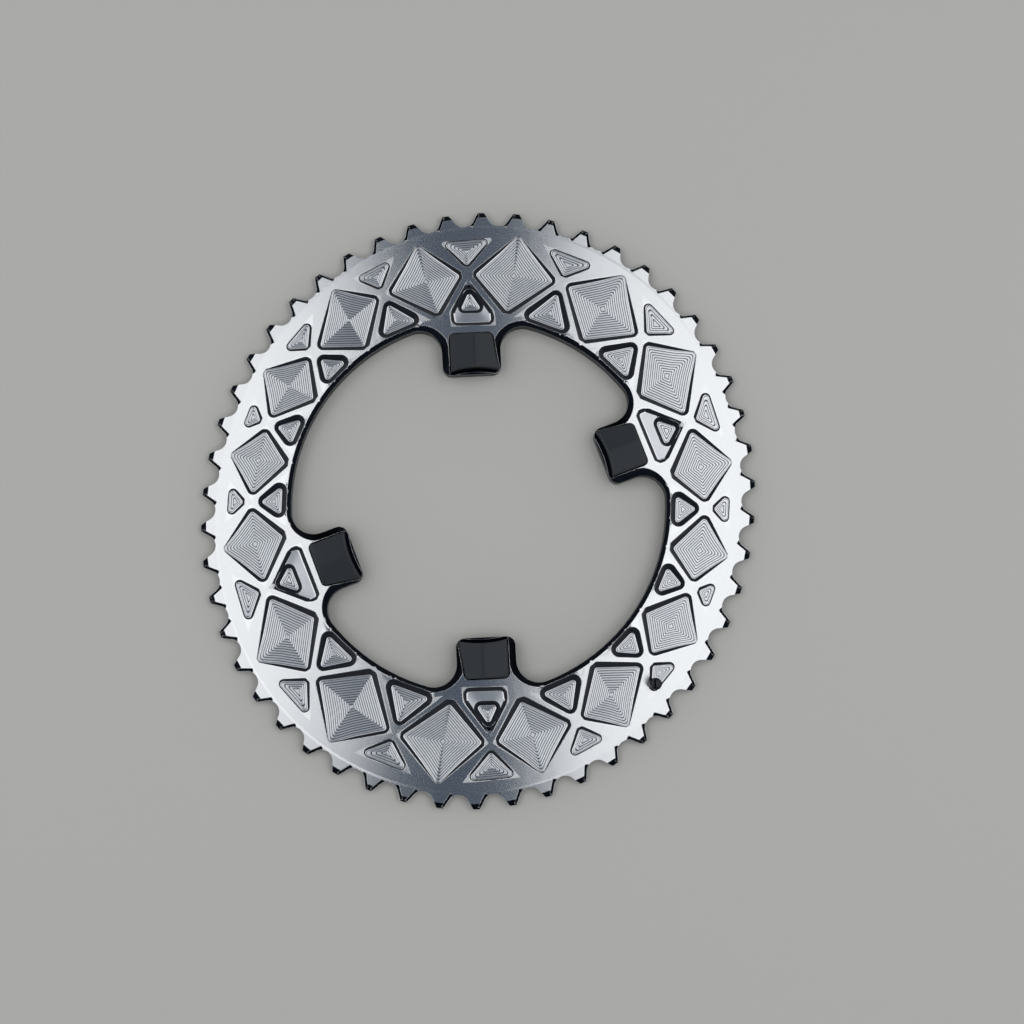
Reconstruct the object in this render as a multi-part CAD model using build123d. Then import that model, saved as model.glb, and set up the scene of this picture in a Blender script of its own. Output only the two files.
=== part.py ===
from build123d import *
import math
import os

# An oval 50-tooth chainring for a four-arm crank with a 110 mm bolt circle.
# The ring lies on its back: z = 0 is the back land, +Z is the ring's axis and points to the side that shows.
# The origin is the centre of the bolt circle, and +X is the direction of the crank arm. All sizes are in mm.

# Teeth and pitch curve
TOOTH_COUNT = 50
MEAN_PITCH_RADIUS = 100.91
OVAL_SWING = 4.745
MAJOR_AXIS = 108.2
FIRST_GAP_ANGLE = 112.46
ROLLER_SEAT_RADIUS = 3.89
SEAT_HALF_ANGLE = 58
TOOTH_RISE = 1.0
TOOTH_BACK_Z = 0.9
TOOTH_FRONT_Z = 3.0
TIP_BEVEL_WIDTH = 1.6
TIP_BEVEL_DEPTH = 0.9
TIP_BEVEL_LENGTH = 6.0
FLANK_BEVEL_WIDTH = 1.2
FLANK_BEVEL_DEPTH = 1.0
FLANK_BEVEL_LENGTH = 5.4
FLANK_BEVEL_OFFSET = 0.6
SHIFT_TEETH = (-8, -1, 7, 17, 24, 32)

# Plate section, from the rim to the windows
ROOT_INSET = 4.0
BACK_LAND_INSET = 13.5
BACK_SLOPE_INSET = 10.5
CROWN_Z = 7.7
CROWN_RADIUS = 60.0
WINDOW_RADIUS = 66.2
WINDOW_CORNER = 8.0
WINDOW_CHAMFER = 1.6
POCKET_FLOOR_Z = 3.25
SHELF_FLOOR_Z = 5.3
WALL_DRAFT = 25
POCKET_CORNER = 1.1

# Lattice of ribs between the pockets, for half a turn; the other half is the same, turned by 180 degrees
CROSSING_ANGLES = (32.5, 55, 79, 103, 126, 147.5, 170.5, 192)
CROSSING_RADII = (80.5, 80.5, 83.5, 85.5, 83.5, 83, 80.5, 80.5)
RIM_NODE_ANGLES = (43, 68.5, 91, 115, 136.5, 157, 181, 201.5)
HUB_NODE_ANGLES = (42, 68, 91, 115, 135, 158.5, 180, 200.5)
RIM_NODE_INSET = 1.3
HUB_NODE_RADIUS = 66.3
RIB_HALF_AT_CROSSING = 0.75
RIB_HALF_AT_RIM = 3.7
RIB_HALF_AT_HUB = 0.9
RIM_CHORD_INSET = 5.4
HUB_CHORD_INSET = 2.4
SHELF_CHORD_INSET = -1.3
SHELF_SIDE_INSET = 0.4
DEEP_CHORD_INSET = 2.8
DEEP_SIDE_INSET = 1.0
SHELF_HALF_WIDTHS = {1: 10.2, 4: 7.7}

# Tabs and covers
ARM_ANGLES = (54, 126, 234, 306)
BOLT_CIRCLE_RADIUS = 55.0
MOUNT_THREAD_RADIUS = 4.0
TAB_END = 46.6
TAB_HALF_WIDTH = 10.4
TAB_CORNER = 3.2
TAB_BACK_Z = 0.8
TAB_STEP_RADIUS = 64.0
COVER_SEAT_Z = 5.2
COVER_SHOULDER_Z = 8.2
COVER_RIDGE_Z = 9.6
COVER_OUTER_END = 60.9
COVER_INNER_END = 47.6
COVER_END_BULGE = 1.1
COVER_HALF_WIDTH = 7.5
COVER_FLARE = 2.1
COVER_CORNER = 1.6
COVER_RIDGE_SHIFT = 1.2
COVER_RIDGE_ROUND = 5.0
COVER_EDGE_BEVEL = 0.45
COVER_GAP = 0.45

# Pins
SHIFT_PIN_INSET = 7.6
SHIFT_PIN_RADIUS = 2.0
CATCH_PIN_ANGLE = -12.4
CATCH_PIN_RADIAL = 87.9
CATCH_PIN_RADIUS = 2.1
CATCH_PIN_HEIGHT = 5.0
CATCH_PIN_BEVEL = 0.6


def polar(radius, angle):
    """A point at a radius and an angle in degrees about the ring's axis."""
    return Vector(radius * math.cos(math.radians(angle)), radius * math.sin(math.radians(angle)))


def oval_radius(angle, inset=0.0):
    """The pitch curve swings above and below its mean radius twice a turn, most at the major axis."""
    return MEAN_PITCH_RADIUS - inset + OVAL_SWING * math.cos(math.radians(2 * (angle - MAJOR_AXIS)))


def oval_curve(inset=0.0, step=10):
    """The pitch curve, or a curve at a constant radial distance inside it, from the first gap round."""
    angles = [FIRST_GAP_ANGLE + turn for turn in range(0, 360, step)]
    return Spline(*[polar(oval_radius(angle, inset), angle) for angle in angles], periodic=True)


def oval_face(inset, height):
    """A flat section of the ring, on a lighter curve than the one that spaces the teeth."""
    return Pos(0, 0, height) * make_face(oval_curve(inset, 30))


def circle_face(radius, height):
    return Pos(0, 0, height) * Circle(radius)


def gap_frame(curve, index):
    """The roller centre of a gap, with the unit vectors that point outward and along the tooth row."""
    position = (index / TOOTH_COUNT) % 1
    centre = curve @ position
    along = curve % position
    outward = Vector(along.Y, -along.X)
    return centre, outward, along


def tooth_form():
    """Half a gap's width at its seat's ends, these ends' drop below its centre, and half its width at the tips."""
    seat_side = ROLLER_SEAT_RADIUS * math.sin(math.radians(SEAT_HALF_ANGLE))
    seat_drop = ROLLER_SEAT_RADIUS * math.cos(math.radians(SEAT_HALF_ANGLE))
    tip_side = seat_side + (TOOTH_RISE + seat_drop) / math.tan(math.radians(SEAT_HALF_ANGLE))
    return seat_side, seat_drop, tip_side


def tooth_outline(curve):
    """One closed outline: for each gap a seat arc between two flanks, and a straight tip to the next gap."""
    seat_side, seat_drop, tip_side = tooth_form()
    edges = []
    tips = []
    for index in range(TOOTH_COUNT):
        centre, outward, along = gap_frame(curve, index)
        seat_start = centre - outward * seat_drop - along * seat_side
        seat_low = centre - outward * ROLLER_SEAT_RADIUS
        seat_end = centre - outward * seat_drop + along * seat_side
        tip_before = centre + outward * TOOTH_RISE - along * tip_side
        tip_after = centre + outward * TOOTH_RISE + along * tip_side
        edges.append(Line(tip_before, seat_start))
        edges.append(ThreePointArc(seat_start, seat_low, seat_end))
        edges.append(Line(seat_end, tip_after))
        tips.append((tip_before, tip_after))
    for index in range(TOOTH_COUNT):
        edges.append(Line(tips[index - 1][1], tips[index][0]))
    return make_face(Wire(edges))


def edge_wedge(width, depth, length):
    """Cuts a bevel along an edge in Y through the origin, with the material on the -X side, below."""
    spare = 1.0
    low = -depth * (1 + spare / width)
    outline = Polyline((-width, 0), (spare, low), (spare, spare), (-width, spare), close=True)
    return extrude(Plane.XZ * make_face(outline), amount=length / 2, both=True)


def turned(shape, spot, outward, height):
    """Stands a shape at a spot, with its X axis outward."""
    return Pos(spot.X, spot.Y, height) * Rot(0, 0, math.degrees(math.atan2(outward.Y, outward.X))) * shape


def tooth_bevels(curve):
    """Bevels on the front of each tooth's tip and trailing flank, or both flanks where the chain is lifted."""
    seat_side, seat_drop, tip_side = tooth_form()
    front_tip = edge_wedge(TIP_BEVEL_WIDTH, TIP_BEVEL_DEPTH, TIP_BEVEL_LENGTH)
    flank = edge_wedge(FLANK_BEVEL_WIDTH, FLANK_BEVEL_DEPTH, FLANK_BEVEL_LENGTH)
    both = {(index + step) % TOOTH_COUNT for index in SHIFT_TEETH for step in (0, 1)}
    cutters = []
    for index in range(TOOTH_COUNT):
        centre, outward, along = gap_frame(curve, index)
        next_centre, next_outward = gap_frame(curve, index + 1)[:2]
        middle = (centre + next_centre) / 2 + outward * TOOTH_RISE
        tip_outward = (outward + next_outward).normalized()
        cutters.append(turned(front_tip, middle, tip_outward, TOOTH_FRONT_Z))
        sides = [-1]
        if (index + 1) % TOOTH_COUNT in both:
            sides.append(1)
        for side in sides:
            tip = centre + outward * TOOTH_RISE + along * side * tip_side
            seat = centre - outward * seat_drop + along * side * seat_side
            rise = (tip - seat).normalized()
            facing = Vector(rise.Y, -rise.X) * -side
            cutters.append(turned(flank, seat + rise * FLANK_BEVEL_OFFSET, facing, TOOTH_FRONT_Z))
    return cutters


def toothed_plate(curve):
    teeth = Pos(0, 0, TOOTH_BACK_Z) * extrude(tooth_outline(curve), amount=TOOTH_FRONT_Z - TOOTH_BACK_Z)
    return teeth - tooth_bevels(curve)


def crown_height(point):
    """Height of the coned face above a point: a straight fall from the crown to the tooth roots."""
    angle = math.degrees(math.atan2(point.Y, point.X))
    radius = math.hypot(point.X, point.Y)
    rim = oval_radius(angle, ROOT_INSET)
    share = (rim - radius) / (rim - CROWN_RADIUS)
    return TOOTH_FRONT_Z + (CROWN_Z - TOOTH_FRONT_Z) * min(1, share)


def node(angles, radii, index):
    """A node of the lattice: indexes past half a turn come round on the other side."""
    half = len(angles)
    turn = 180 * (index // half)
    return polar(radii[index % half], angles[index % half] + turn)


def crossing(index):
    return node(CROSSING_ANGLES, CROSSING_RADII, index)


def rim_node(index):
    radii = [oval_radius(angle, RIM_NODE_INSET) for angle in RIM_NODE_ANGLES]
    return node(RIM_NODE_ANGLES, radii, index)


def hub_node(index):
    return node(HUB_NODE_ANGLES, [HUB_NODE_RADIUS] * len(HUB_NODE_ANGLES), index)


def side_line(start, end, start_offset, end_offset, inner_point):
    """A side of a pocket: the line from start to end, moved towards the pocket by an offset at each end."""
    along = (end - start).normalized()
    across = Vector(-along.Y, along.X)
    if across.dot(inner_point - start) < 0:
        across = -across
    return start + across * start_offset, end + across * end_offset


def meet(first, second):
    """The point where two lines meet."""
    a, b = first
    c, d = second
    run = b - a
    other = d - c
    share = ((c.X - a.X) * other.Y - (c.Y - a.Y) * other.X) / (run.X * other.Y - run.Y * other.X)
    return a + run * share


def pocket_corners(sides):
    return [meet(sides[index - 1], sides[index]) for index in range(len(sides))]


def pocket_floor(corners, floor_z):
    """Carries an outline on the coned face down its drafted walls to the floor."""
    centre = sum(corners, Vector()) / len(corners)
    draft = math.tan(math.radians(WALL_DRAFT))
    sides = []
    for start, end in zip(corners, corners[1:] + corners[:1]):
        start_wall = max(0, crown_height(start) - floor_z) * draft
        end_wall = max(0, crown_height(end) - floor_z) * draft
        sides.append(side_line(start, end, start_wall, end_wall, centre))
    return pocket_corners(sides)


def cut_corners(corners, length):
    """Cuts each corner of an outline off, so far back along both of its sides."""
    points = []
    for index, corner in enumerate(corners):
        before = (corners[index - 1] - corner).normalized()
        after = (corners[(index + 1) % len(corners)] - corner).normalized()
        points += [corner + before * length, corner + after * length]
    return points


def pocket_cutter(corners, floor_z):
    """A drafted prism that stands on a pocket's floor and opens out above the face."""
    top_z = CROWN_Z + 1
    spread = (top_z - floor_z) * math.tan(math.radians(WALL_DRAFT))
    low = cut_corners(pocket_floor(corners, floor_z), POCKET_CORNER)
    centre = sum(low, Vector()) / len(low)
    sides = [side_line(start, end, -spread, -spread, centre) for start, end in zip(low, low[1:] + low[:1])]
    high = pocket_corners(sides)
    low = [Vector(point.X, point.Y, floor_z) for point in low]
    high = [Vector(point.X, point.Y, top_z) for point in high]
    walls = []
    for index in range(len(low)):
        after = (index + 1) % len(low)
        walls.append(Polyline(low[index], low[after], high[after], high[index], close=True))
    outlines = [Polyline(*low, close=True), Polyline(*high, close=True)] + walls
    return Solid(Shell([make_face(outline).face() for outline in outlines]))


def diamond_corners(index):
    """The four-sided pocket between two crossings."""
    left = crossing(index)
    right = crossing(index + 1)
    rim = rim_node(index)
    hub = hub_node(index)
    centre = (left + right + rim + hub) / 4
    return pocket_corners([
        side_line(left, rim, RIB_HALF_AT_CROSSING, RIB_HALF_AT_RIM, centre),
        side_line(rim, right, RIB_HALF_AT_RIM, RIB_HALF_AT_CROSSING, centre),
        side_line(right, hub, RIB_HALF_AT_CROSSING, RIB_HALF_AT_HUB, centre),
        side_line(hub, left, RIB_HALF_AT_HUB, RIB_HALF_AT_CROSSING, centre),
    ])


def triangle_sides(apex, before, after, end_half, chord_inset, side_inset=0.0):
    """A three-sided pocket, between the two ribs that leave a crossing and the chord of their far nodes."""
    centre = (apex + before + after) / 3
    near = RIB_HALF_AT_CROSSING + side_inset
    far = end_half + side_inset
    return [
        side_line(apex, before, near, far, centre),
        side_line(before, after, chord_inset, chord_inset, centre),
        side_line(after, apex, far, near, centre),
    ]


def rim_triangle(index):
    before, after = rim_node(index - 1), rim_node(index)
    return pocket_corners(triangle_sides(crossing(index), before, after, RIB_HALF_AT_RIM, RIM_CHORD_INSET))


def hub_triangle_sides(index, chord_inset, side_inset=0.0):
    before, after = hub_node(index - 1), hub_node(index)
    return triangle_sides(crossing(index), before, after, RIB_HALF_AT_HUB, chord_inset, side_inset)


def shelf_corners(index, half_width):
    """The shelf of a split pocket: a triangle with its two hub corners cut off square to the chord."""
    before, after = hub_node(index - 1), hub_node(index)
    middle = (before + after) / 2
    along = (after - before).normalized()
    outward = crossing(index) - middle
    first, chord, last = hub_triangle_sides(index, SHELF_CHORD_INSET, SHELF_SIDE_INSET)
    near_end = middle - along * half_width
    far_end = middle + along * half_width
    return pocket_corners([first, (near_end + outward, near_end), chord, (far_end, far_end + outward), last])


def pocket_cutters():
    """All the pockets. The hub triangle on each arm is split into a shelf and a deeper end."""
    half = len(CROSSING_ANGLES)
    count = 2 * half
    cutters = []
    for index in range(count):
        cutters.append(pocket_cutter(diamond_corners(index), POCKET_FLOOR_Z))
        cutters.append(pocket_cutter(rim_triangle(index), POCKET_FLOOR_Z))
        if index % half in SHELF_HALF_WIDTHS:
            shelf = shelf_corners(index, SHELF_HALF_WIDTHS[index % half])
            deep = pocket_corners(hub_triangle_sides(index, DEEP_CHORD_INSET, DEEP_SIDE_INSET))
            cutters.append(pocket_cutter(shelf, SHELF_FLOOR_Z))
            cutters.append(pocket_cutter(deep, POCKET_FLOOR_Z))
        else:
            hub = pocket_corners(hub_triangle_sides(index, HUB_CHORD_INSET))
            cutters.append(pocket_cutter(hub, POCKET_FLOOR_Z))
    return cutters


def opening_outline():
    """The open middle: a circle with four tabs standing into it."""
    opening = Circle(WINDOW_RADIUS)
    length = WINDOW_RADIUS + 10 - TAB_END
    tab = Pos(TAB_END + length / 2, 0) * Rectangle(length, 2 * TAB_HALF_WIDTH)
    for angle in ARM_ANGLES:
        opening -= Rot(0, 0, angle) * tab
    tips = [point for point in opening.vertices() if math.hypot(point.X, point.Y) < WINDOW_RADIUS - 5]
    opening = fillet(tips, TAB_CORNER)
    roots = [point for point in opening.vertices() if math.hypot(point.X, point.Y) > WINDOW_RADIUS - 1]
    return fillet(roots, WINDOW_CORNER)


def opening_cutter():
    """The opening goes right through, and its front edge is chamfered."""
    outline = opening_outline()
    through = Pos(0, 0, -1) * extrude(outline, amount=CROWN_Z + 2)
    narrow = 1.0
    start_z = crown_height(Vector(WINDOW_RADIUS, 0)) - WINDOW_CHAMFER - narrow
    flare_base = Pos(0, 0, start_z) * offset(outline, -narrow)
    return through + extrude(flare_base, amount=CROWN_Z + 0.3 - start_z, taper=-45)


def cover_outline(side, gap=0.0):
    """Plan of a cover on the +X arm: a round-cornered cap that flares on one side towards the crank."""
    half = COVER_HALF_WIDTH + gap
    outer = COVER_OUTER_END + gap
    inner = COVER_INNER_END - 3 * gap
    flare = COVER_FLARE
    start = Vector(inner, -side * half)
    end = Vector(inner, side * (half + flare))
    edges = [
        Line(start, (outer, -side * half)),
        Line((outer, -side * half), (outer, side * half)),
        Line((outer, side * half), end),
        ThreePointArc(end, (inner + COVER_END_BULGE, side * flare / 2), start),
    ]
    outline = make_face(Wire(edges))
    corners = [point for point in outline.vertices() if point.X > outer - 1]
    return fillet(corners, COVER_CORNER + gap)


def bolt_cover(side):
    """A solid cap with a low roof: two slopes meet at a soft ridge along the arm."""
    outline = Pos(0, 0, COVER_SEAT_Z) * cover_outline(side)
    body = extrude(outline, amount=COVER_RIDGE_Z - COVER_SEAT_Z)
    half = COVER_HALF_WIDTH + COVER_FLARE
    ridge = side * COVER_RIDGE_SHIFT
    roof = Polyline(
        (-half - 1, COVER_SEAT_Z - 1),
        (half + 1, COVER_SEAT_Z - 1),
        (half + 1, COVER_SHOULDER_Z),
        (ridge, COVER_RIDGE_Z),
        (-half - 1, COVER_SHOULDER_Z),
        close=True,
    )
    roof = make_face(roof)
    roof = fillet(roof.vertices().sort_by(Axis.Y)[-1], COVER_RIDGE_ROUND)
    profile = Plane(origin=(COVER_INNER_END - 2, 0, 0), x_dir=(0, 1, 0), z_dir=(1, 0, 0)) * roof
    body &= extrude(profile, amount=COVER_OUTER_END - COVER_INNER_END + 6)
    slopes = body.faces().filter_by(lambda face: face.normal_at().Z > 0.5)
    rim = [edge for edge in body.edges() if sum(edge in slope.edges() for slope in slopes) == 1]
    return chamfer(rim, COVER_EDGE_BEVEL)


def cover_side(angle):
    """Each cover flares towards the shorter gap between arms, so the two pairs are mirror images."""
    return 1 if angle in (54, 234) else -1


def cover_seat_cutters():
    """The seat of each cover and the mounting thread under it."""
    cutters = []
    for angle in ARM_ANGLES:
        side = cover_side(angle)
        turn = Rot(0, 0, angle)
        seat = extrude(Pos(0, 0, COVER_SEAT_Z) * cover_outline(side, COVER_GAP), amount=CROWN_Z)
        thread = Pos(BOLT_CIRCLE_RADIUS, 0, 0) * Cylinder(MOUNT_THREAD_RADIUS, 2 * CROWN_Z + 4)
        cutters += [turn * seat, turn * thread]
    return cutters


def tab_step_cutter():
    """The backs of the tabs are stepped in, to seat on the crank."""
    return Cylinder(TAB_STEP_RADIUS, 2 * TAB_BACK_Z)


def pin_places(curve):
    """Centres of the shift pins, just inside the tooth roots, a gap after the teeth that lift the chain."""
    places = []
    for index in SHIFT_TEETH:
        centre, outward, along = gap_frame(curve, index + 2)
        places.append(centre - outward * SHIFT_PIN_INSET)
    return places


def chainring():
    curve = oval_curve()
    back = loft([oval_face(BACK_LAND_INSET, 0), oval_face(BACK_SLOPE_INSET, TOOTH_BACK_Z)], ruled=True)
    front = loft([oval_face(ROOT_INSET, TOOTH_FRONT_Z), circle_face(CROWN_RADIUS, CROWN_Z)], ruled=True)
    plate = toothed_plate(curve) + back + front
    plate -= pocket_cutters()
    plate -= opening_cutter()
    plate -= cover_seat_cutters()
    plate -= tab_step_cutter()
    catch = polar(CATCH_PIN_RADIAL, CATCH_PIN_ANGLE)
    return plate - Pos(catch.X, catch.Y, 0) * Cylinder(CATCH_PIN_RADIUS, 4 * CROWN_Z)


def shift_pin(place):
    """The head of a pin that stands on the back of the tooth row to pick up the chain."""
    return Pos(place.X, place.Y, TOOTH_BACK_Z / 2) * Cylinder(SHIFT_PIN_RADIUS, TOOTH_BACK_Z)


def chain_catch_pin():
    """A peg with a bevelled top that stops the chain from dropping beside the crank arm."""
    place = polar(CATCH_PIN_RADIAL, CATCH_PIN_ANGLE)
    length = crown_height(place) + CATCH_PIN_HEIGHT - TOOTH_BACK_Z
    peg = Pos(place.X, place.Y, TOOTH_BACK_Z + length / 2) * Cylinder(CATCH_PIN_RADIUS, length)
    return chamfer(peg.edges().sort_by(Axis.Z)[-1], CATCH_PIN_BEVEL)


def main():
    os.makedirs("parts", exist_ok=True)
    export_step(chainring(), "parts/chainring.step")
    for number, angle in enumerate(ARM_ANGLES, start=1):
        cover = Rot(0, 0, angle) * bolt_cover(cover_side(angle))
        export_step(cover, f"parts/bolt_cover_{number}.step")
    for number, place in enumerate(pin_places(oval_curve()), start=1):
        export_step(shift_pin(place), f"parts/shift_pin_{number}.step")
    export_step(chain_catch_pin(), "parts/chain_catch_pin.step")


if __name__ == "__main__":
    main()
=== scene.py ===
import math

import bmesh
import bpy
import numpy as np
from mathutils import Matrix, Vector


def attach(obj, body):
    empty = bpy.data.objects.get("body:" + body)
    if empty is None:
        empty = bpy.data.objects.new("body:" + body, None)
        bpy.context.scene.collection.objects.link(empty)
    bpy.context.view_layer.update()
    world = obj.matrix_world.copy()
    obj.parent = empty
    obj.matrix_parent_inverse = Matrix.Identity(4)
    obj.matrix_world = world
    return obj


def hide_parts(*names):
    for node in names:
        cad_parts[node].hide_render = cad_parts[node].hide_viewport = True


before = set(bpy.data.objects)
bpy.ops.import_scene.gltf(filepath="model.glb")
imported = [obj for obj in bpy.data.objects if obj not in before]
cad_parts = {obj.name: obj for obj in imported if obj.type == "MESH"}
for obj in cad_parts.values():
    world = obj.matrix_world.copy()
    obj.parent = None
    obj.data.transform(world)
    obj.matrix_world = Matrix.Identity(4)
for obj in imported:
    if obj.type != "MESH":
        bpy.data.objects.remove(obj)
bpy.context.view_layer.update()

MM = 0.001

# Sizes that the ring's source also names, in mm and degrees
MEAN_PITCH_RADIUS = 100.91
OVAL_SWING = 4.745
MAJOR_AXIS = 108.2
ROOT_INSET = 4.0
TOOTH_FRONT_Z = 3.0
CROWN_Z = 7.7
CROWN_RADIUS = 60.0
POCKET_FLOOR_Z = 3.25
SHELF_FLOOR_Z = 5.3
WALL_DRAFT = math.radians(25)
CROSSING_ANGLES = (32.5, 55, 79, 103, 126, 147.5, 170.5, 192)
CROSSING_RADII = (80.5, 80.5, 83.5, 85.5, 83.5, 83, 80.5, 80.5)
RIM_NODE_ANGLES = (43, 68.5, 91, 115, 136.5, 157, 181, 201.5)
HUB_NODE_ANGLES = (42, 68, 91, 115, 135, 158.5, 180, 200.5)
RIM_NODE_INSET = 1.3
HUB_NODE_RADIUS = 66.3
RIB_HALF_AT_CROSSING = 0.75
RIB_HALF_AT_RIM = 3.7
RIB_HALF_AT_HUB = 0.9
RIM_CHORD_INSET = 5.4
HUB_CHORD_INSET = 2.4
SHELF_CHORD_INSET = -1.3
SHELF_SIDE_INSET = 0.4
DEEP_CHORD_INSET = 2.8
DEEP_SIDE_INSET = 1.0
SHELF_HALF_WIDTHS = {1: 10.2, 4: 7.7}
WINDOW_RADIUS = 66.2
WINDOW_CHAMFER = 1.6

# Milled bands of the floors, in mm and shares of a band's width
GROOVE_PITCH = 0.86
BAND_HEIGHT = 0.12
NOTCH_HEIGHT = 0.02
NOTCH_SHARE = 0.16
SCALLOP_DEPTH = 0.035
SCALLOP_START = 0.36
SCALLOP_END = 0.64

# Walls and lips of the pockets, in mm
FLOOR_FILLET = 0.6
FULL_WALL_HEIGHT = 0.75
FOOT_INSET = 0.45
WALL_TOP_INSET = 0.03
WALL_TOP_DROP = 0.077
CORNER_ROUND = 1.5
LIP_WIDTH = 0.11
LIP_FLAT = 0.06
OVERLAP = 0.35

# Counts of points, and shares: of a fillet's full size, of a side that an arc may take, and of a direction
FILLET_ROWS = 6
CORNER_POINTS = 7
SIDE_POINTS = 4
SMALLEST_FILLET_SHARE = 0.02
LONGEST_ARC_SHARE = 0.45
LEAST_OUTWARD = 0.05

# Two points of a lip's rounding: how far out from the wall's top edge, and how far below the face, in mm
LIP_ROUND_START = (-0.02, 0.05)
LIP_ROUND_END = (0.04, 0.006)

# Small distances that keep a lining off the solid's own faces, in mm
SKIN = 0.03
LIP_LIFT = 0.008
BAND_LIFT = 0.01
FLOOR_CLEARANCE = 0.02

# Repetitions that find where a wall ends, and that pull an outline in by a share at a time
WALL_STEPS = 8
PULL_STEPS = 60
PULL_SHARE = 0.99

# A wall is on the hub's side where its direction's part away from the ring's axis is under this
HUB_FACING_LIMIT = 0.25

# Order of a lining's materials
ON_FLOOR = 0
ON_WALL = 1
ON_FACE = 2
# The notch's material is painted shade
IN_NOTCH = 3

# Strips between a lining's rows, from the foot of its wall to the lip's end
FOOT_STRIPS = 3
WALL_STRIPS = 5
LIP_STRIPS = 4
FLAT_LIP_STRIPS = 2

# Copies of the CAD pieces: how many, the angles in degrees above which edges stay sharp, and metres
COVER_COUNT = 4
SHIFT_PIN_COUNT = 6
RING_SHARP_ANGLE = 5
COVER_SHARP_ANGLE = 14
PIN_SHARP_ANGLE = 25
MERGE_DISTANCE = 1e-6

# A lining's texture coordinates: a tenth of the length along it in mm, and a small step for each wall row
UV_LENGTH_SCALE = 0.1
UV_ROW_STEP = 0.02


# Node groups that several finishes share


def group(name, inputs, outputs):
    """A shader node group with named sockets; returns it with its two end nodes."""
    tree = bpy.data.node_groups.new(name, "ShaderNodeTree")
    for socket, kind, value in inputs:
        made = tree.interface.new_socket(socket, in_out="INPUT", socket_type=kind)
        if value is not None:
            made.default_value = value
    for socket, kind in outputs:
        tree.interface.new_socket(socket, in_out="OUTPUT", socket_type=kind)
    return tree, tree.nodes.new("NodeGroupInput"), tree.nodes.new("NodeGroupOutput")


def node(tree, kind, **values):
    """Adds a node, sets its plain properties, and its inputs where a name starts with in_."""
    made = tree.nodes.new(kind)
    for name, value in values.items():
        if name.startswith("in_"):
            key = name[3:].replace("_", " ")
            key = int(key) if key.isdigit() else key
            made.inputs[key].default_value = value
        else:
            setattr(made, name, value)
    return made


def grain_group():
    """Fine grain in the object's own space: a mask between 0 and 1, and a height in metres."""
    tree, start, end = group(
        "satin_grain",
        [("Scale", "NodeSocketFloat", 2500.0), ("Height", "NodeSocketFloat", 0.00001)],
        [("Mask", "NodeSocketFloat"), ("Height", "NodeSocketFloat")],
    )
    place = node(tree, "ShaderNodeTexCoord")
    fine = node(tree, "ShaderNodeTexNoise", in_Detail=3.0, in_Roughness=0.6)
    slow = node(tree, "ShaderNodeTexNoise", in_Scale=60.0, in_Detail=4.0, in_Roughness=0.7)
    scaled = node(tree, "ShaderNodeMath", operation="MULTIPLY")
    tree.links.new(place.outputs["Object"], fine.inputs["Vector"])
    tree.links.new(place.outputs["Object"], slow.inputs["Vector"])
    tree.links.new(start.outputs["Scale"], fine.inputs["Scale"])
    tree.links.new(fine.outputs["Fac"], scaled.inputs[0])
    tree.links.new(start.outputs["Height"], scaled.inputs[1])
    tree.links.new(slow.outputs["Fac"], end.inputs["Mask"])
    tree.links.new(scaled.outputs[0], end.inputs["Height"])
    return tree


def facing_group():
    """Where the last cuts left bare metal: the face itself and the flank bevels, but not the covers' seats.

    The mask is 1 where the normal's upright part is over the face's limit, or near the flank bevel's, and
    where the surface lies either outside the seats' radius or above their height.
    """
    tree, start, end = group(
        "machined_faces",
        [
            ("Face", "NodeSocketFloat", 0.94),
            ("Flank", "NodeSocketFloat", 0.768),
            ("Seat", "NodeSocketFloat", 0.006),
            ("Radius", "NodeSocketFloat", 0.0614),
        ],
        [("Mask", "NodeSocketFloat")],
    )
    place = node(tree, "ShaderNodeTexCoord")
    normal = node(tree, "ShaderNodeSeparateXYZ")
    spot = node(tree, "ShaderNodeSeparateXYZ")
    flat = node(tree, "ShaderNodeVectorMath", operation="MULTIPLY", in_1=(1, 1, 0))
    radius = node(tree, "ShaderNodeVectorMath", operation="LENGTH")
    face = node(tree, "ShaderNodeMath", operation="GREATER_THAN")
    flank = node(tree, "ShaderNodeMath", operation="COMPARE", in_2=0.025)
    outside = node(tree, "ShaderNodeMath", operation="GREATER_THAN")
    above = node(tree, "ShaderNodeMath", operation="GREATER_THAN")
    either = node(tree, "ShaderNodeMath", operation="MAXIMUM")
    clear = node(tree, "ShaderNodeMath", operation="MAXIMUM")
    both = node(tree, "ShaderNodeMath", operation="MULTIPLY")
    tree.links.new(place.outputs["Normal"], normal.inputs[0])
    tree.links.new(place.outputs["Object"], spot.inputs[0])
    tree.links.new(place.outputs["Object"], flat.inputs[0])
    tree.links.new(flat.outputs[0], radius.inputs[0])
    tree.links.new(normal.outputs["Z"], face.inputs[0])
    tree.links.new(start.outputs["Face"], face.inputs[1])
    tree.links.new(normal.outputs["Z"], flank.inputs[0])
    tree.links.new(start.outputs["Flank"], flank.inputs[1])
    tree.links.new(radius.outputs["Value"], outside.inputs[0])
    tree.links.new(start.outputs["Radius"], outside.inputs[1])
    tree.links.new(spot.outputs["Z"], above.inputs[0])
    tree.links.new(start.outputs["Seat"], above.inputs[1])
    tree.links.new(face.outputs[0], either.inputs[0])
    tree.links.new(flank.outputs[0], either.inputs[1])
    tree.links.new(outside.outputs[0], clear.inputs[0])
    tree.links.new(above.outputs[0], clear.inputs[1])
    tree.links.new(either.outputs[0], both.inputs[0])
    tree.links.new(clear.outputs[0], both.inputs[1])
    tree.links.new(both.outputs[0], end.inputs["Mask"])
    return tree


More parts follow.
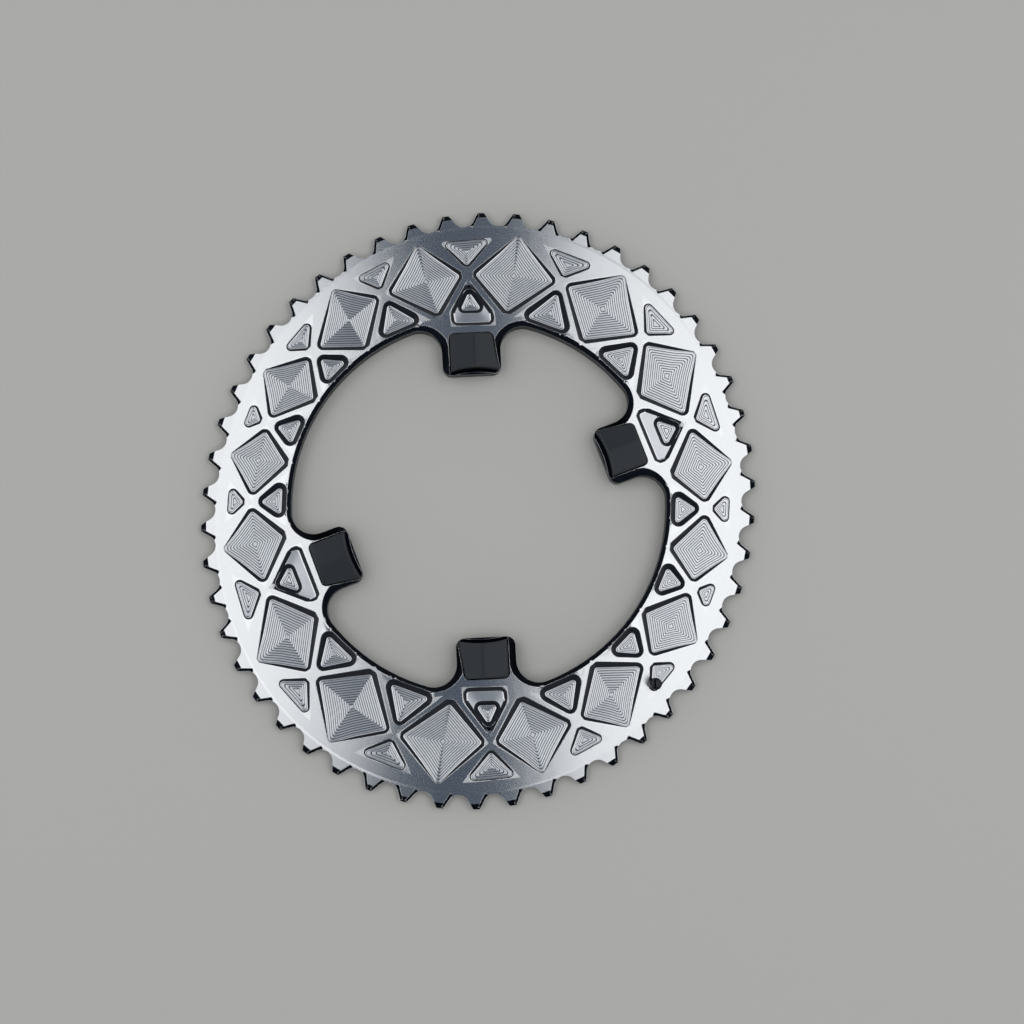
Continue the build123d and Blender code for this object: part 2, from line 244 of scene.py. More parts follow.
def edge_group():
    """Deburred edges: a mask of where a rounded normal leaves the true one, with that rounded normal."""
    tree, start, end = group(
        "broken_edges",
        [("Radius", "NodeSocketFloat", 0.0002)],
        [("Mask", "NodeSocketFloat"), ("Normal", "NodeSocketVector")],
    )
    rounded = node(tree, "ShaderNodeBevel", samples=4)
    true = node(tree, "ShaderNodeNewGeometry")
    match = node(tree, "ShaderNodeVectorMath", operation="DOT_PRODUCT")
    ramp = node(tree, "ShaderNodeMapRange", in_1=0.99, in_2=0.9)
    tree.links.new(start.outputs["Radius"], rounded.inputs["Radius"])
    tree.links.new(rounded.outputs[0], match.inputs[0])
    tree.links.new(true.outputs["Normal"], match.inputs[1])
    tree.links.new(match.outputs["Value"], ramp.inputs["Value"])
    tree.links.new(ramp.outputs["Result"], end.inputs["Mask"])
    tree.links.new(rounded.outputs[0], end.inputs["Normal"])
    return tree


def turned_group():
    """Carries the coned face's slope on over the teeth.

    Up to the teeth's height, a normal that points nearly straight up gets an outward part, which is the slope
    times the direction from the axis.
    """
    tree, start, end = group(
        "turned_slope",
        [
            ("Normal", "NodeSocketVector", None),
            ("Slope", "NodeSocketFloat", 0.117),
            ("Height", "NodeSocketFloat", 0.0031),
        ],
        [("Normal", "NodeSocketVector")],
    )
    place = node(tree, "ShaderNodeTexCoord")
    spot = node(tree, "ShaderNodeSeparateXYZ")
    rise = node(tree, "ShaderNodeSeparateXYZ")
    flat = node(tree, "ShaderNodeVectorMath", operation="MULTIPLY", in_1=(1, 1, 0))
    outward = node(tree, "ShaderNodeVectorMath", operation="NORMALIZE")
    low = node(tree, "ShaderNodeMath", operation="LESS_THAN")
    level = node(tree, "ShaderNodeMath", operation="GREATER_THAN", in_1=0.99)
    both = node(tree, "ShaderNodeMath", operation="MULTIPLY")
    amount = node(tree, "ShaderNodeMath", operation="MULTIPLY")
    lean = node(tree, "ShaderNodeVectorMath", operation="SCALE")
    total = node(tree, "ShaderNodeVectorMath", operation="ADD")
    unit = node(tree, "ShaderNodeVectorMath", operation="NORMALIZE")
    tree.links.new(place.outputs["Object"], spot.inputs[0])
    tree.links.new(place.outputs["Object"], flat.inputs[0])
    tree.links.new(flat.outputs[0], outward.inputs[0])
    tree.links.new(place.outputs["Normal"], rise.inputs[0])
    tree.links.new(spot.outputs["Z"], low.inputs[0])
    tree.links.new(start.outputs["Height"], low.inputs[1])
    tree.links.new(rise.outputs["Z"], level.inputs[0])
    tree.links.new(low.outputs[0], both.inputs[0])
    tree.links.new(level.outputs[0], both.inputs[1])
    tree.links.new(both.outputs[0], amount.inputs[0])
    tree.links.new(start.outputs["Slope"], amount.inputs[1])
    tree.links.new(outward.outputs[0], lean.inputs[0])
    tree.links.new(amount.outputs[0], lean.inputs["Scale"])
    tree.links.new(start.outputs["Normal"], total.inputs[0])
    tree.links.new(lean.outputs[0], total.inputs[1])
    tree.links.new(total.outputs[0], unit.inputs[0])
    tree.links.new(unit.outputs[0], end.inputs["Normal"])
    return tree


GRAIN = grain_group()
TURNED = turned_group()
FACING = facing_group()
EDGES = edge_group()


def finish(name, **sockets):
    """A material with its Principled shader, and the constants set on the shader's own sockets."""
    made = bpy.data.materials.new(name)
    made.use_nodes = True
    shader = made.node_tree.nodes["Principled BSDF"]
    for key, value in sockets.items():
        shader.inputs[key.replace("_", " ")].default_value = value
    return made, made.node_tree, shader


def placed(tree, shared, **values):
    """A shared node group, put into a material's tree with its own values."""
    made = node(tree, "ShaderNodeGroup", node_tree=shared)
    for key, value in values.items():
        made.inputs[key].default_value = value
    return made


def blend_colour(tree, mask, low, high):
    """Blends two colours by a mask."""
    mix = node(tree, "ShaderNodeMix", data_type="RGBA")
    mix.inputs[6].default_value = low
    mix.inputs[7].default_value = high
    tree.links.new(mask, mix.inputs[0])
    return mix.outputs[2]


def vary_colour(tree, shader, grain, low, high):
    """Lets the grain's mask move the shader's colour between two."""
    tree.links.new(blend_colour(tree, grain.outputs["Mask"], low, high), shader.inputs["Base Color"])


def vary_roughness(tree, shader, grain, low, high):
    """Lets the grain's mask move the shader's roughness between two values."""
    mix = node(tree, "ShaderNodeMapRange", in_3=low, in_4=high)
    tree.links.new(grain.outputs["Mask"], mix.inputs["Value"])
    tree.links.new(mix.outputs["Result"], shader.inputs["Roughness"])


def add_bump(tree, shader, grain, strength, normal=None):
    """Adds the grain's height to the shader's normal, over another normal where one is given."""
    bump = node(tree, "ShaderNodeBump", in_Strength=strength)
    tree.links.new(grain.outputs["Height"], bump.inputs["Height"])
    if normal is not None:
        tree.links.new(normal, bump.inputs["Normal"])
    tree.links.new(bump.outputs[0], shader.inputs["Normal"])


BARE = (0.83, 0.835, 0.835, 1)
BARE_DULL = (0.79, 0.795, 0.8, 1)
MILLED = (0.97, 0.97, 0.98, 1)
MILLED_DULL = (0.88, 0.89, 0.91, 1)
# Painted shade: dark colours for the floors' notches, standing in for the shading of the real notch
GROOVE_PAINTED_SHADE = (0.06, 0.065, 0.08, 1)
GROOVE_PAINTED_SHADE_LIGHT = (0.11, 0.12, 0.14, 1)
BLACK_ANODISED = (0.006, 0.008, 0.013, 1)
BLACK_RUBBED = (0.014, 0.018, 0.028, 1)
MOULDING_DARK = (0.013, 0.016, 0.02, 1)
MOULDING_LIGHT = (0.022, 0.026, 0.033, 1)
MOULDING_EDGE = (0.045, 0.05, 0.056, 1)
STEEL_DARK = (0.45, 0.45, 0.46, 1)
STEEL_LIGHT = (0.6, 0.6, 0.61, 1)
BLACK_STEEL_DARK = (0.02, 0.02, 0.022, 1)
BLACK_STEEL_LIGHT = (0.04, 0.04, 0.044, 1)


def machined_face():
    """Turned bare aluminium on what faces forward, black anodising on walls and the back."""
    made, tree, shader = finish("machined_face", Metallic=1.0, Anisotropic=0.8, Anisotropic_Rotation=0.25)
    grain = placed(tree, GRAIN, Scale=3000.0, Height=0.0000008)
    facing = placed(tree, FACING)
    edges = placed(tree, EDGES, Radius=0.00018)
    bare = blend_colour(tree, grain.outputs["Mask"], BARE_DULL, BARE)
    turned = placed(tree, TURNED)
    both = node(tree, "ShaderNodeMath", operation="MAXIMUM")
    tree.links.new(facing.outputs["Mask"], both.inputs[0])
    tree.links.new(edges.outputs["Mask"], both.inputs[1])
    colour = node(tree, "ShaderNodeMix", data_type="RGBA")
    colour.inputs[6].default_value = BLACK_ANODISED
    tree.links.new(both.outputs[0], colour.inputs[0])
    tree.links.new(bare, colour.inputs[7])
    tree.links.new(colour.outputs[2], shader.inputs["Base Color"])
    vary_roughness(tree, shader, grain, 0.24, 0.28)
    tree.links.new(edges.outputs["Normal"], turned.inputs["Normal"])
    add_bump(tree, shader, grain, 0.3, turned.outputs["Normal"])
    tangent = node(tree, "ShaderNodeTangent", direction_type="RADIAL", axis="Z")
    tree.links.new(tangent.outputs[0], shader.inputs["Tangent"])
    return made


def milled_floor():
    """Bare aluminium with the cutter's fine lines along each band."""
    made, tree, shader = finish("milled_floor", Metallic=1.0, Anisotropic=0.6, Anisotropic_Rotation=0.25)
    grain = placed(tree, GRAIN, Scale=2500.0, Height=0.000003)
    vary_colour(tree, shader, grain, MILLED_DULL, MILLED)
    vary_roughness(tree, shader, grain, 0.26, 0.34)
    add_bump(tree, shader, grain, 0.5)
    tangent = node(tree, "ShaderNodeTangent", direction_type="UV_MAP", uv_map="bands")
    tree.links.new(tangent.outputs[0], shader.inputs["Tangent"])
    return made


def groove_painted_shade():
    """The notch between two passes of the cutter, coloured dark as painted shade; the notch itself is real
    geometry.
    """
    made, tree, shader = finish("groove_painted_shade", Metallic=0.6)
    grain = placed(tree, GRAIN, Scale=2500.0, Height=0.000004)
    vary_colour(tree, shader, grain, GROOVE_PAINTED_SHADE, GROOVE_PAINTED_SHADE_LIGHT)
    vary_roughness(tree, shader, grain, 0.4, 0.6)
    add_bump(tree, shader, grain, 0.5)
    return made


def pocket_wall():
    """Satin black anodising, a little greyer where the cutter rubbed."""
    made, tree, shader = finish("pocket_wall", Metallic=0.0, Specular_IOR_Level=0.2)
    grain = placed(tree, GRAIN, Scale=1800.0, Height=0.000004)
    vary_colour(tree, shader, grain, BLACK_ANODISED, BLACK_RUBBED)
    vary_roughness(tree, shader, grain, 0.35, 0.55)
    add_bump(tree, shader, grain, 0.5)
    return made


def moulded_cover():
    """Satin black moulding with a fine blasted grain and edges rubbed a little lighter."""
    made, tree, shader = finish("moulded_cover", Metallic=0.25)
    grain = placed(tree, GRAIN, Scale=4500.0, Height=0.00003)
    edges = placed(tree, EDGES, Radius=0.0004)
    colour = node(tree, "ShaderNodeMix", data_type="RGBA")
    colour.inputs[7].default_value = MOULDING_EDGE
    moulding = blend_colour(tree, grain.outputs["Mask"], MOULDING_DARK, MOULDING_LIGHT)
    tree.links.new(moulding, colour.inputs[6])
    tree.links.new(edges.outputs["Mask"], colour.inputs[0])
    tree.links.new(colour.outputs[2], shader.inputs["Base Color"])
    vary_roughness(tree, shader, grain, 0.33, 0.48)
    add_bump(tree, shader, grain, 0.8, edges.outputs["Normal"])
    return made


def pin_steel(name, low, high, rough):
    """Turned steel, bright or blackened."""
    made, tree, shader = finish(name, Metallic=1.0)
    grain = placed(tree, GRAIN, Scale=3500.0, Height=0.000006)
    edges = placed(tree, EDGES, Radius=0.0003)
    vary_colour(tree, shader, grain, low, high)
    vary_roughness(tree, shader, grain, rough * 0.8, rough * 1.3)
    add_bump(tree, shader, grain, 0.6, edges.outputs["Normal"])
    return made


# Plan of the pockets: points are complex numbers, in mm


def polar(radius, angle):
    """A point at a radius and an angle in degrees about the ring's axis."""
    return radius * np.exp(1j * np.radians(angle))


def oval_radius(angle, inset=0.0):
    """The mean radius less an inset, with a swing of twice a turn that is highest on the major axis."""
    return MEAN_PITCH_RADIUS - inset + OVAL_SWING * np.cos(np.radians(2 * (angle - MAJOR_AXIS)))


def crown_height(points):
    """The face rises in a straight line from the tooth roots to the crown circle."""
    rim = oval_radius(np.degrees(np.angle(points)), ROOT_INSET)
    share = (rim - np.abs(points)) / (rim - CROWN_RADIUS)
    return TOOTH_FRONT_Z + (CROWN_Z - TOOTH_FRONT_Z) * np.minimum(1, share)


def lattice_node(angles, radii, index):
    """A node of the lattice: indexes past half a turn come round on the other side."""
    half = len(angles)
    return polar(radii[index % half], angles[index % half] + 180 * (index // half))


def crossing(index):
    return lattice_node(CROSSING_ANGLES, CROSSING_RADII, index)


def rim_node(index):
    radii = [oval_radius(angle, RIM_NODE_INSET) for angle in RIM_NODE_ANGLES]
    return lattice_node(RIM_NODE_ANGLES, radii, index)


def hub_node(index):
    return lattice_node(HUB_NODE_ANGLES, [HUB_NODE_RADIUS] * len(HUB_NODE_ANGLES), index)


def side_line(start, end, start_offset, end_offset, inside):
    """The line from start to end, moved towards a point inside by an offset at each end."""
    across = 1j * (end - start) / abs(end - start)
    if (across * np.conj(inside - start)).real < 0:
        across = -across
    return start + across * start_offset, end + across * end_offset


def meet(first, second):
    """The point where two lines meet."""
    run = first[1] - first[0]
    other = second[1] - second[0]
    gap = second[0] - first[0]
    return first[0] + run * (np.conj(gap) * other).imag / (np.conj(run) * other).imag


def corners_of(sides):
    return [meet(sides[index - 1], sides[index]) for index in range(len(sides))]


def floor_corners(corners, floor_z):
    """The outline on the face, carried down the drafted walls to the floor."""
    centre = sum(corners) / len(corners)
    sides = []
    for start, end in zip(corners, corners[1:] + corners[:1]):
        drop = np.maximum(0, crown_height(np.array([start, end])) - floor_z) * math.tan(WALL_DRAFT)
        sides.append(side_line(start, end, drop[0], drop[1], centre))
    return corners_of(sides)


def diamond_corners(index):
    """The four-sided pocket between two crossings."""
    left, right, rim, hub = crossing(index), crossing(index + 1), rim_node(index), hub_node(index)
    centre = (left + right + rim + hub) / 4
    near, far, low = RIB_HALF_AT_CROSSING, RIB_HALF_AT_RIM, RIB_HALF_AT_HUB
    return corners_of([
        side_line(left, rim, near, far, centre),
        side_line(rim, right, far, near, centre),
        side_line(right, hub, near, low, centre),
        side_line(hub, left, low, near, centre),
    ])


def triangle_sides(apex, before, after, end_half, chord_inset, side_inset=0.0):
    """A three-sided pocket, between the two ribs that leave a crossing and the chord of their far nodes."""
    centre = (apex + before + after) / 3
    near = RIB_HALF_AT_CROSSING + side_inset
    far = end_half + side_inset
    return [
        side_line(apex, before, near, far, centre),
        side_line(before, after, chord_inset, chord_inset, centre),
        side_line(after, apex, far, near, centre),
    ]


def rim_triangle(index):
    before, after = rim_node(index - 1), rim_node(index)
    return corners_of(triangle_sides(crossing(index), before, after, RIB_HALF_AT_RIM, RIM_CHORD_INSET))


def hub_sides(index, chord_inset, side_inset=0.0):
    before, after = hub_node(index - 1), hub_node(index)
    return triangle_sides(crossing(index), before, after, RIB_HALF_AT_HUB, chord_inset, side_inset)


def shelf_corners(index, half_width):
    """A hub triangle with its two hub corners cut off square to the chord."""
    before, after = hub_node(index - 1), hub_node(index)
    middle = (before + after) / 2
    along = (after - before) / abs(after - before)
    outward = crossing(index) - middle
    first, chord, last = hub_sides(index, SHELF_CHORD_INSET, SHELF_SIDE_INSET)
    near_end = middle - along * half_width
    far_end = middle + along * half_width
    return corners_of([first, (near_end + outward, near_end), chord, (far_end, far_end + outward), last])


def counter_clockwise(corners):
    area = sum((np.conj(a) * b).imag for a, b in zip(corners, corners[1:] + corners[:1]))
    return corners if area > 0 else corners[::-1]


def arc_reach(corner_turn, before, after):
    """How far an arc reaches back along its corner's sides, which is less than half of the shorter side."""
    return min(CORNER_ROUND * math.tan(corner_turn / 2), LONGEST_ARC_SHARE * min(abs(before), abs(after)))


def rounded_outline(corners):
    """Points round an outline whose corners are arcs, with the outward direction at each.

    At a corner the arc's centre lies on the inner bisector. The arc's points are the centre plus its radius
    times directions spread evenly between the two sides' outward normals.
    """
    points, outward = [], []
    count = len(corners)
    for index, corner in enumerate(corners):
        into = corner - corners[index - 1]
        out = corners[(index + 1) % count] - corner
        turn = np.angle(out / into)
        reach = arc_reach(turn, into, out)
        bend = reach / math.tan(turn / 2)
        first_normal = -1j * into / abs(into)
        bisector = first_normal * np.exp(1j * turn / 2)
        centre = corner - bisector * bend / math.cos(turn / 2)
        spread = first_normal * np.exp(1j * turn * np.linspace(0, 1, CORNER_POINTS))
        points += list(centre + spread * bend)
        outward += list(spread)
        side_normal = -1j * out / abs(out)
        after = corners[(index + 2) % count] - corners[(index + 1) % count]
        next_reach = arc_reach(np.angle(after / out), out, after)
        begin = corner + out / abs(out) * reach
        finish_at = corners[(index + 1) % count] - out / abs(out) * next_reach
        for share in np.linspace(0, 1, SIDE_POINTS + 2)[1:-1]:
            points.append(begin + (finish_at - begin) * share)
            outward.append(side_normal)
    return np.array(points), np.array(outward)


def middle_of(corners):
    """The point whose distances to all sides are most nearly equal, by least squares, and that distance."""
    rows, values = [], []
    for start, end in zip(corners, corners[1:] + corners[:1]):
        normal = -1j * (end - start) / abs(end - start)
        rows.append([normal.real, normal.imag, 1.0])
        values.append((np.conj(normal) * start).real)
    x, y, distance = np.linalg.lstsq(np.array(rows), np.array(values), rcond=None)[0]
    return complex(x, y), distance


def surface(name, rows, heights, materials, row_material, closed_middle, uv):
    """A closed band of quads: row i, column j is the point rows[i, j] in plan with its height, all in mm."""
    count, width = rows.shape
    vertices = np.stack([rows.real, rows.imag, heights], axis=-1).reshape(-1, 3) * MM
    i, j = np.meshgrid(np.arange(count - 1), np.arange(width), indexing="ij")
    k = (j + 1) % width
    ring, next_ring = i * width, (i + 1) * width
    faces = np.stack([ring + j, next_ring + j, next_ring + k, ring + k], axis=-1).reshape(-1, 4)
    slots = np.concatenate([np.broadcast_to(kind, width) for kind in row_material])
    polygons = faces.tolist()
    if closed_middle:
        polygons.append(list(range(width)))
        slots = np.append(slots, row_material[0])
    mesh = bpy.data.meshes.new(name)
    mesh.from_pydata(vertices, [], polygons)
    mesh.polygons.foreach_set("material_index", slots.astype(np.int32))
    mesh.polygons.foreach_set("use_smooth", np.ones(len(polygons), dtype=bool))
    lengths, shares = uv
    u = np.stack([lengths[f] for f in (j, j, j + 1, j + 1)], axis=-1).reshape(-1)
    v = np.stack([shares[f] for f in (i, i + 1, i + 1, i)], axis=-1).reshape(-1)
    if closed_middle:
        u = np.append(u, lengths[:width])
        v = np.append(v, np.zeros(width))
    layer = mesh.uv_layers.new(name="bands")
    layer.data.foreach_set("uv", np.stack([u, v], axis=-1).reshape(-1).astype(np.float32))
    for material in materials:
        mesh.materials.append(material)
    made = bpy.data.objects.new(name, mesh)
    bpy.context.scene.collection.objects.link(made)
    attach(made, "root")
    return made


def wall_height(points, outward, floor_z, top):
    """How far a drafted wall rises from its foot before it meets the surface above, found by repetition."""
    height = np.maximum(0, top(points) - floor_z)
    for step in range(WALL_STEPS):
        height = np.maximum(0, top(points + outward * height * math.tan(WALL_DRAFT)) - floor_z)
    return height


def wall_rows(points, outward, floor_z, top):
    """Profile of a wall, from the fillet at its foot to its top edge, for every point of an outline.

    The fillet is an arc that turns from flat to the wall's slope. Its size shrinks where the wall runs out.
    """
    height = wall_height(points, outward, floor_z, top)
    share = np.clip(height / FULL_WALL_HEIGHT, SMALLEST_FILLET_SHARE, 1.0)
    size = share * FLOOR_FILLET
    foot = points - outward * share * FOOT_INSET
    slope = math.pi / 2 - WALL_DRAFT
    reach = math.tan(slope / 2)
    rows, heights = [], []
    for turn in np.linspace(0, slope, FILLET_ROWS):
        rows.append(foot + outward * size * (math.sin(turn) - reach))
        heights.append(floor_z + SKIN + size * (1 - math.cos(turn)))
    edge = points + outward * height * math.tan(WALL_DRAFT)
    top_z = np.maximum(floor_z + height - WALL_TOP_DROP, heights[-1])
    low, low_z = rows[-1], heights[-1]
    for part in (0.5, 1.0):
        rows.append(low + (edge - outward * WALL_TOP_INSET - low) * part)
        heights.append(low_z + (top_z - low_z) * part)
    return rows, heights, edge, share * FOOT_INSET + size * reach


def lip_rows(edge, outward, corners, floor_z, top):
    """Rounds the top edge over, and carries the face on to just past the pocket's plain outline.

    From each point the outward ray meets the nearest side of the outline, at the smallest distance.
    """
    far = np.full(len(edge), np.inf)
    for start, end in zip(corners, corners[1:] + corners[:1]):
        normal = -1j * (end - start) / abs(end - start)
        across = (np.conj(normal) * outward).real
        away = (np.conj(normal) * (start - edge)).real
        meeting = np.minimum(far, away / np.maximum(across, LEAST_OUTWARD))
        far = np.where(across > LEAST_OUTWARD, meeting, far)
    last = np.maximum(far, 0) + OVERLAP
    flat = [(LIP_WIDTH, 0.0), (LIP_WIDTH + LIP_FLAT, 0.0), (last, 0.0)]
    rows, heights = [], []
    for out, down in [LIP_ROUND_START, LIP_ROUND_END] + flat:
        spot = edge + outward * out
        rows.append(spot)
        heights.append(np.maximum(top(spot) - down, floor_z) + LIP_LIFT)
    return rows, heights


def floor_bands(points, centre, distance, floor_z, top):
    """Shrunken copies of the outline about the middle, with the milled profile across each band.

    A band is a shallow hollow between two narrow notches, and every copy is the middle plus a share of the
    way out to the outline.
    """
    bands = max(2, round(distance / GROOVE_PITCH))
    hollow = BAND_HEIGHT - SCALLOP_DEPTH
    profile = [
        (0.0, NOTCH_HEIGHT),
        (NOTCH_SHARE, BAND_HEIGHT),
        (SCALLOP_START, hollow),
        (SCALLOP_END, hollow),
        (1 - NOTCH_SHARE, BAND_HEIGHT),
    ]
    shares = [(band + at) / bands for band in range(bands) for at, lift in profile][1:]
    lifts = [lift for band in range(bands) for at, lift in profile][1:]
    rows = [centre + (points - centre) * share for share in shares]
    heights = [np.minimum(floor_z + lift, top(row) + BAND_LIFT) for row, lift in zip(rows, lifts)]
    # The notch rows take the groove material's painted shade
    kinds = ([ON_FLOOR] * 3 + [IN_NOTCH] * 2) * bands
    kinds = kinds[:len(rows)]
    return rows, heights, shares, kinds


def lining(name, corners, floor_z, top, with_floor=True, around=None):
    """The inside of a pocket: milled floor, fillet, wall and lip, as one surface.

    Where the sloping face dips below the floor, the outline is pulled in towards the middle until it meets
    it. A pocket inside a shelf is lined on to the outline around it, black except on the hub's side.
    """
    corners = counter_clockwise(corners)
    sharp = floor_corners(corners, floor_z)
    centre, distance = middle_of(sharp)
    points, outward = rounded_outline(sharp)
    points = points - outward * SKIN
    for step in range(PULL_STEPS):
        over = top(points) < floor_z + FLOOR_CLEARANCE
        points = np.where(over, centre + (points - centre) * PULL_SHARE, points)
    rows, heights, edge, inset = wall_rows(points, outward, floor_z, top)
    kinds = [ON_FLOOR] * FOOT_STRIPS + [ON_WALL] * WALL_STRIPS + [ON_FACE] * LIP_STRIPS
    towards_hub = (outward * np.conj(centre)).real / abs(centre) < HUB_FACING_LIMIT
    hub_side_bare = np.where(towards_hub, ON_FLOOR, ON_WALL)
    if not with_floor:
        kinds[:FOOT_STRIPS] = [hub_side_bare] * FOOT_STRIPS
    if around is None:
        around = corners
    else:
        kinds[-FLAT_LIP_STRIPS:] = [hub_side_bare] * FLAT_LIP_STRIPS
    lip, lip_heights = lip_rows(edge, outward, around, floor_z, top)
    rows += lip
    heights += lip_heights
    shares = [1.0 + UV_ROW_STEP * step for step in range(len(rows))]
    if with_floor:
        inner_rows, inner_heights, inner_shares, inner_kinds = floor_bands(
            points - outward * inset, centre, distance, floor_z, top)
        rows = inner_rows + rows
        heights = inner_heights + heights
        kinds = inner_kinds + kinds
        shares = inner_shares + shares
    steps = np.abs(np.roll(points, -1) - points)
    lengths = np.concatenate([[0], np.cumsum(steps)])
    plan = np.array(rows)
    levels = np.array([np.broadcast_to(z, plan.shape[1:]) for z in heights])
    uv = (lengths * UV_LENGTH_SCALE, np.array(shares))
    # The fourth material, on the notch rows, is painted shade
    return surface(name, plan, levels, (FLOOR, WALL, FACE, NOTCH_PAINTED_SHADE), kinds, with_floor, uv)


def shelf_top(points):
    """The shelf, and the face where it has dropped below the shelf."""
    return np.minimum(crown_height(points), SHELF_FLOOR_Z)


def hub_top(points):
    """The face, and the chamfer that falls from it to the edge of the window."""
    edge = crown_height(np.array(WINDOW_RADIUS)) - WINDOW_CHAMFER
    return np.minimum(crown_height(points), edge + abs(points) - WINDOW_RADIUS)


def line_pockets():
    """Lines every pocket. The hub triangle on each arm is split into a shelf and a deeper end."""
    half = len(CROSSING_ANGLES)
    for index in range(2 * half):
        lining(f"diamond_lining_{index + 1}", diamond_corners(index), POCKET_FLOOR_Z, crown_height)
        lining(f"rim_lining_{index + 1}", rim_triangle(index), POCKET_FLOOR_Z, crown_height)
        if index % half in SHELF_HALF_WIDTHS:
            shelf = shelf_corners(index, SHELF_HALF_WIDTHS[index % half])
            lining(f"shelf_lining_{index + 1}", shelf, SHELF_FLOOR_Z, crown_height, with_floor=False)
            deep = corners_of(hub_sides(index, DEEP_CHORD_INSET, DEEP_SIDE_INSET))
            shelf_floor = counter_clockwise(floor_corners(shelf, SHELF_FLOOR_Z))
            lining(f"hub_lining_{index + 1}", deep, POCKET_FLOOR_Z, shelf_top, around=shelf_floor)
        else:
            hub = corners_of(hub_sides(index, HUB_CHORD_INSET))
            lining(f"hub_lining_{index + 1}", hub, POCKET_FLOOR_Z, hub_top)


def smooth_copy(name, angle):
    """A merged, smooth-shaded copy of a CAD piece that replaces it, with edges sharper than an angle kept."""
    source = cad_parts[name]
    made = source.copy()
    made.data = source.data.copy()
    made.name = name + "_skin"
    bpy.context.scene.collection.objects.link(made)
    for key in list(made.keys()):
        del made[key]
    work = bmesh.new()
    work.from_mesh(made.data)
    bmesh.ops.remove_doubles(work, verts=work.verts, dist=MERGE_DISTANCE)
    work.to_mesh(made.data)
    work.free()
    made.data.shade_smooth()
    made.data.set_sharp_from_angle(angle=math.radians(angle))
    made.parent = None
    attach(made, "root")
    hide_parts(name)
    return made


def dress(piece, material):
    """Gives a piece its finish."""
    piece.data.materials.clear()
    piece.data.materials.append(material)


FACE = machined_face()
FLOOR = milled_floor()
WALL = pocket_wall()
NOTCH_PAINTED_SHADE = groove_painted_shade()
COVER = moulded_cover()
BRIGHT_STEEL = pin_steel("bright_steel", STEEL_DARK, STEEL_LIGHT, 0.25)
BLACK_STEEL = pin_steel("black_steel", BLACK_STEEL_DARK, BLACK_STEEL_LIGHT, 0.16)

dress(smooth_copy("chainring", RING_SHARP_ANGLE), FACE)
for number in range(1, COVER_COUNT + 1):
    dress(smooth_copy(f"bolt_cover_{number}", COVER_SHARP_ANGLE), COVER)
for number in range(1, SHIFT_PIN_COUNT + 1):
    dress(smooth_copy(f"shift_pin_{number}", PIN_SHARP_ANGLE), BRIGHT_STEEL)
dress(smooth_copy("chain_catch_pin", PIN_SHARP_ANGLE), BLACK_STEEL)
line_pockets()


# Floor, lamps and camera, in metres

TURN = math.radians(33.2)
CAMERA_DISTANCE = 0.6406
CAMERA_TARGET_Z = 0.002
FLOOR_HALF_SIZE = 4.0
FLOOR_DROP = 0.00005
FLOOR_PAPER = (0.58, 0.57, 0.53, 1)
LAMP_NEAR_LEFT = -0.24
LAMP_NEAR_RIGHT = 0.15
LAMP_FAR = 1.4
LAMP_DEPTH = 1.7
LAMP_HEIGHT = 1.0
LAMP_FORWARD = 0.05
LAMP_RADIANCE = 1.17
PALE_WALLS = (0.85, 0.85, 0.84, 1)
BLUE_ZENITH = (0.03, 0.05, 0.083, 1)


def row_direction(x, y, z):
    """A direction given in the picture's frame, turned about the ring's axis into the row's frame."""
    return Vector((x * math.cos(TURN) - y * math.sin(TURN), x * math.sin(TURN) + y * math.cos(TURN), z))


def studio_floor():
    """A plain pale sheet, just under the ring's back."""
    mesh = bpy.data.meshes.new("studio_floor")
    size = FLOOR_HALF_SIZE
    corners = [(-size, -size, 0), (size, -size, 0), (size, size, 0), (-size, size, 0)]
    mesh.from_pydata(corners, [], [(0, 1, 2, 3)])
    made = bpy.data.objects.new("studio_floor", mesh)
    bpy.context.scene.collection.objects.link(made)
    made.location.z = -FLOOR_DROP
    made.data.materials.append(finish("floor_paper", Base_Color=FLOOR_PAPER, Roughness=0.85)[0])


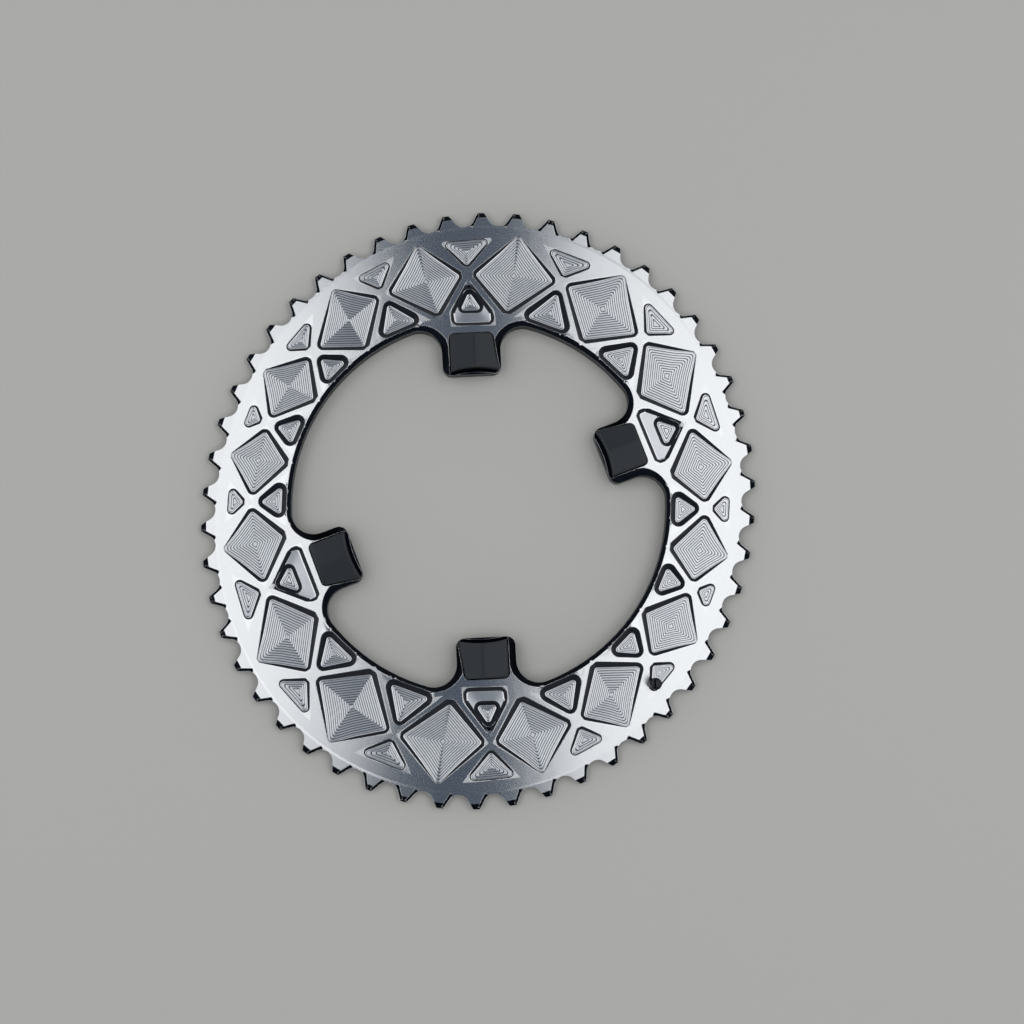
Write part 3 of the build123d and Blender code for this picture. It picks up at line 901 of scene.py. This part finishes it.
def softbox(name, near, far):
    """A level lamp over the ring, which reaches from near to far across the picture."""
    width = far - near
    data = bpy.data.lights.new(name, "AREA")
    data.shape = "RECTANGLE"
    data.size = abs(width)
    data.size_y = LAMP_DEPTH
    data.energy = LAMP_RADIANCE * math.pi * abs(width) * LAMP_DEPTH
    made = bpy.data.objects.new(name, data)
    bpy.context.scene.collection.objects.link(made)
    place = row_direction(near + width / 2, LAMP_FORWARD, LAMP_HEIGHT)
    made.matrix_world = Matrix.Translation(place) @ Matrix.Rotation(TURN, 4, "Z")


def studio_world():
    """A dark blue zenith, which the ring's face mirrors between the lamps, over pale grey walls."""
    world = bpy.data.worlds.new("studio")
    bpy.context.scene.world = world
    world.use_nodes = True
    tree = world.node_tree
    place = node(tree, "ShaderNodeTexCoord")
    split = node(tree, "ShaderNodeSeparateXYZ")
    rise = node(tree, "ShaderNodeMapRange", interpolation_type="SMOOTHSTEP", in_1=0.25, in_2=0.6)
    tree.links.new(place.outputs["Generated"], split.inputs[0])
    tree.links.new(split.outputs["Z"], rise.inputs["Value"])
    tint = blend_colour(tree, rise.outputs["Result"], PALE_WALLS, BLUE_ZENITH)
    tree.links.new(tint, tree.nodes["Background"].inputs["Color"])


def studio():
    studio_floor()
    softbox("left_softbox", LAMP_NEAR_LEFT, -LAMP_FAR)
    softbox("right_softbox", LAMP_NEAR_RIGHT, LAMP_FAR)
    studio_world()


def camera():
    """The picture's own viewing direction and distance, over the ring lying on its back."""
    data = bpy.data.cameras.new("camera")
    data.sensor_width = 36
    data.lens = 63.6
    data.shift_x = 0.0325
    data.shift_y = -0.006
    data.clip_start = 0.05
    data.clip_end = 20
    made = bpy.data.objects.new("camera", data)
    bpy.context.scene.collection.objects.link(made)
    right = row_direction(0.99998, 0, 0.00688)
    up = row_direction(-0.00075, 0.99407, 0.10873)
    back = row_direction(-0.00684, -0.10873, 0.99405)
    place = back * CAMERA_DISTANCE + Vector((0, 0, CAMERA_TARGET_Z))
    made.matrix_world = Matrix.Translation(place) @ Matrix((right, up, back)).transposed().to_4x4()
    bpy.context.scene.camera = made


studio()
camera()
bpy.context.scene.view_settings.view_transform = "Standard"
